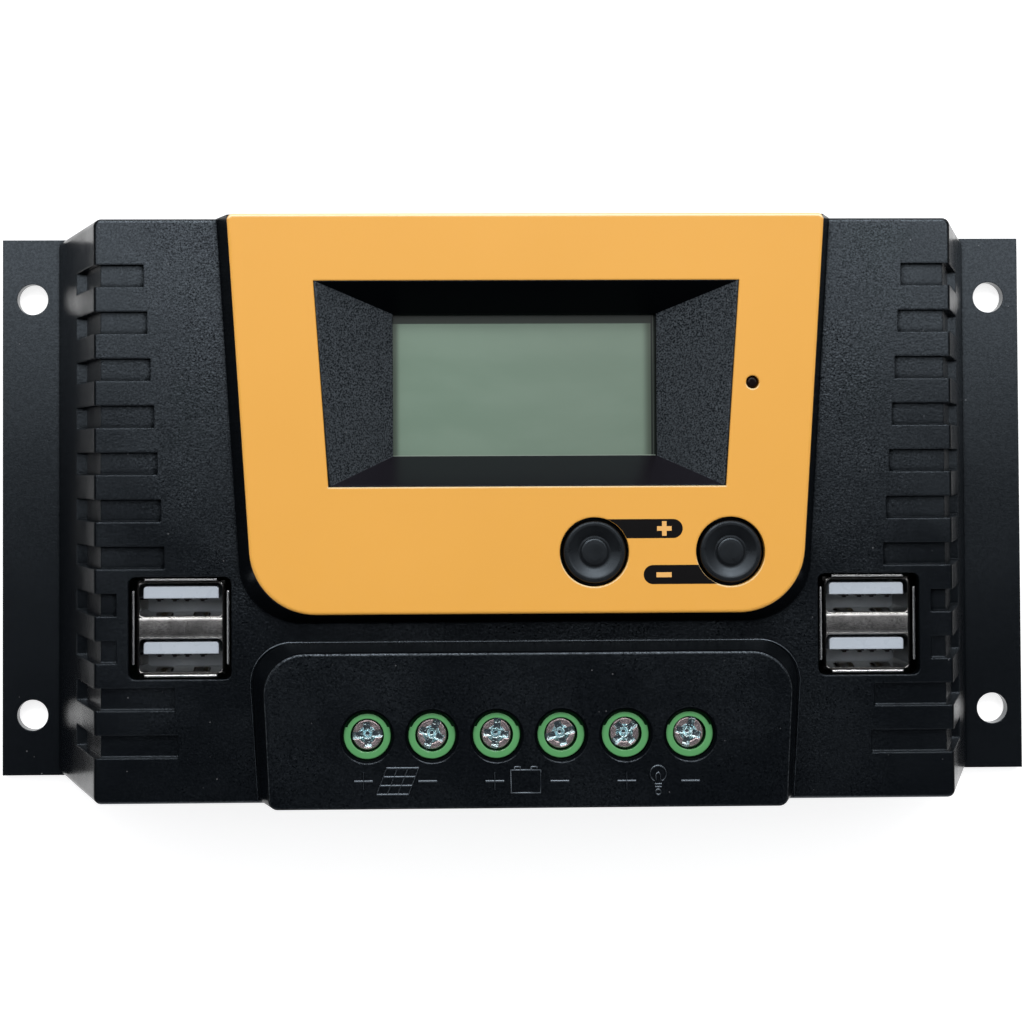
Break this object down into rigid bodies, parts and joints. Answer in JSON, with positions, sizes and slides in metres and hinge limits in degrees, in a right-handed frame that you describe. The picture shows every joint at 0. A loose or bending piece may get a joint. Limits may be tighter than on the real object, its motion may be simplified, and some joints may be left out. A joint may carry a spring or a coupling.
{
  "type": "solar charge controller",
  "caption": "Wall-mounted solar charge controller with a flanged base plate, vented cover, sunk display, push buttons, screw terminals and stacked power sockets.",
  "frame": {"origin": "middle of the base plate's underside", "axes": "+X along the long side to the right of the display, +Y towards the display end and away from the wire terminals, +Z out of the face"},
  "size_m": [0.18, 0.094, 0.0459],
  "materials": {
    "black_plate": "matte black anodised aluminium plate",
    "cover_plastic": "fine leather-grained black ABS, smooth and glossier on its side walls",
    "face_plastic": "satin orange-yellow plastic",
    "button_plastic": "semi-matte black plastic",
    "black_plastic": "moulded black epoxy or nylon",
    "white_plastic": "white moulded plastic",
    "clear_plastic": "smoky clear acrylic rod",
    "display_glass": "grey-green reflective liquid-crystal glass",
    "tinned_metal": "tinned copper",
    "board_green": "green solder mask",
    "brass_metal": "turned brass",
    "zinc_steel": "zinc-plated steel",
    "terminal_green": "green moulded nylon",
    "nickel_steel": "nickel-plated steel sheet",
    "gold_contact": "gold-flashed contacts",
    "grey_rubber": "grey silicone insulating pad",
    "bare_aluminium": "bare aluminium",
    "ferrite": "coated powder-iron ring",
    "copper_wire": "enamelled copper",
    "fuse_plastic": "translucent coloured plastic",
    "ceramic": "chip parts"
  },
  "bodies": {
    "housing": {"base_plate": "black_plate", "top_cover": "cover_plastic", "face_panel": "face_plastic", "switch_body_left": "black_plastic", "switch_body_right": "black_plastic", "indicator_led": "white_plastic", "light_pipe": "clear_plastic", "lcd_glass": "display_glass", "lcd_backlight": "white_plastic", "lcd_holder": "white_plastic", "lcd_pins": "tinned_metal", "main_pcb": "board_green", "pcb_standoffs": "brass_metal", "pcb_screws": "zinc_steel", "standoff_screws": "zinc_steel", "cover_screws": "zinc_steel", "terminal_block_pv": "terminal_green", "terminal_block_battery": "terminal_green", "terminal_block_load": "terminal_green", "terminal_pins": "tinned_metal", "usb_shell_left": "nickel_steel", "usb_shell_right": "nickel_steel", "usb_insulator_left": "white_plastic", "usb_insulator_right": "white_plastic", "usb_contacts_left": "gold_contact", "usb_contacts_right": "gold_contact", "mosfets": "black_plastic", "thermal_pads": "grey_rubber", "mosfet_clamp_bar": "bare_aluminium", "clamp_screws": "zinc_steel", "capacitors": "bare_aluminium", "inductor_core": "ferrite", "inductor_winding": "copper_wire", "fuses": "fuse_plastic", "microcontroller": "black_plastic", "regulators": "black_plastic", "schottky_diodes": "black_plastic", "shunt_resistors": "copper_wire", "small_components": "ceramic"},
    "button_left": {"button_cap_left": "button_plastic", "switch_plunger_left": "black_plastic"},
    "button_right": {"button_cap_right": "button_plastic", "switch_plunger_right": "black_plastic"},
    "screw_1": {"terminal_screw_1": "zinc_steel"},
    "clamp_1": {"wire_clamp_1": "zinc_steel"},
    "screw_2": {"terminal_screw_2": "zinc_steel"},
    "clamp_2": {"wire_clamp_2": "zinc_steel"},
    "screw_3": {"terminal_screw_3": "zinc_steel"},
    "clamp_3": {"wire_clamp_3": "zinc_steel"},
    "screw_4": {"terminal_screw_4": "zinc_steel"},
    "clamp_4": {"wire_clamp_4": "zinc_steel"},
    "screw_5": {"terminal_screw_5": "zinc_steel"},
    "clamp_5": {"wire_clamp_5": "zinc_steel"},
    "screw_6": {"terminal_screw_6": "zinc_steel"},
    "clamp_6": {"wire_clamp_6": "zinc_steel"}
  },
  "joints": [
    {"name": "button_left_press", "type": "slide", "parent": "housing", "child": "button_left", "axis": [0, 0, -1], "range_m": [0, 0.00035], "stiffness_N_per_m": 1500, "springref_m": -0.0004},
    {"name": "button_right_press", "type": "slide", "parent": "housing", "child": "button_right", "axis": [0, 0, -1], "range_m": [0, 0.00035], "stiffness_N_per_m": 1500, "springref_m": -0.0004},
    {"name": "screw_1_turn", "type": "hinge", "parent": "housing", "child": "screw_1", "pos_m": [-0.0254, -0.03535, 0.0402], "axis": [0, 0, -1], "range_deg": [0, 1710]},
    {"name": "clamp_1_rise", "type": "slide", "parent": "housing", "child": "clamp_1", "axis": [0, 0, 1], "range_m": [0, 0.00332]},
    {"name": "screw_2_turn", "type": "hinge", "parent": "housing", "child": "screw_2", "pos_m": [-0.01524, -0.03535, 0.0402], "axis": [0, 0, -1], "range_deg": [0, 1710]},
    {"name": "clamp_2_rise", "type": "slide", "parent": "housing", "child": "clamp_2", "axis": [0, 0, 1], "range_m": [0, 0.00332]},
    {"name": "screw_3_turn", "type": "hinge", "parent": "housing", "child": "screw_3", "pos_m": [-0.00508, -0.03535, 0.0402], "axis": [0, 0, -1], "range_deg": [0, 1710]},
    {"name": "clamp_3_rise", "type": "slide", "parent": "housing", "child": "clamp_3", "axis": [0, 0, 1], "range_m": [0, 0.00332]},
    {"name": "screw_4_turn", "type": "hinge", "parent": "housing", "child": "screw_4", "pos_m": [0.00508, -0.03535, 0.0402], "axis": [0, 0, -1], "range_deg": [0, 1710]},
    {"name": "clamp_4_rise", "type": "slide", "parent": "housing", "child": "clamp_4", "axis": [0, 0, 1], "range_m": [0, 0.00332]},
    {"name": "screw_5_turn", "type": "hinge", "parent": "housing", "child": "screw_5", "pos_m": [0.01524, -0.03535, 0.0402], "axis": [0, 0, -1], "range_deg": [0, 1710]},
    {"name": "clamp_5_rise", "type": "slide", "parent": "housing", "child": "clamp_5", "axis": [0, 0, 1], "range_m": [0, 0.00332]},
    {"name": "screw_6_turn", "type": "hinge", "parent": "housing", "child": "screw_6", "pos_m": [0.0254, -0.03535, 0.0402], "axis": [0, 0, -1], "range_deg": [0, 1710]},
    {"name": "clamp_6_rise", "type": "slide", "parent": "housing", "child": "clamp_6", "axis": [0, 0, 1], "range_m": [0, 0.00332]}
  ],
  "couplings": [
    {"joint": "screw_1_turn", "follows": "clamp_1_rise", "rad_per_m": 8976},
    {"joint": "screw_2_turn", "follows": "clamp_2_rise", "rad_per_m": 8976},
    {"joint": "screw_3_turn", "follows": "clamp_3_rise", "rad_per_m": 8976},
    {"joint": "screw_4_turn", "follows": "clamp_4_rise", "rad_per_m": 8976},
    {"joint": "screw_5_turn", "follows": "clamp_5_rise", "rad_per_m": 8976},
    {"joint": "screw_6_turn", "follows": "clamp_6_rise", "rad_per_m": 8976}
  ]
}
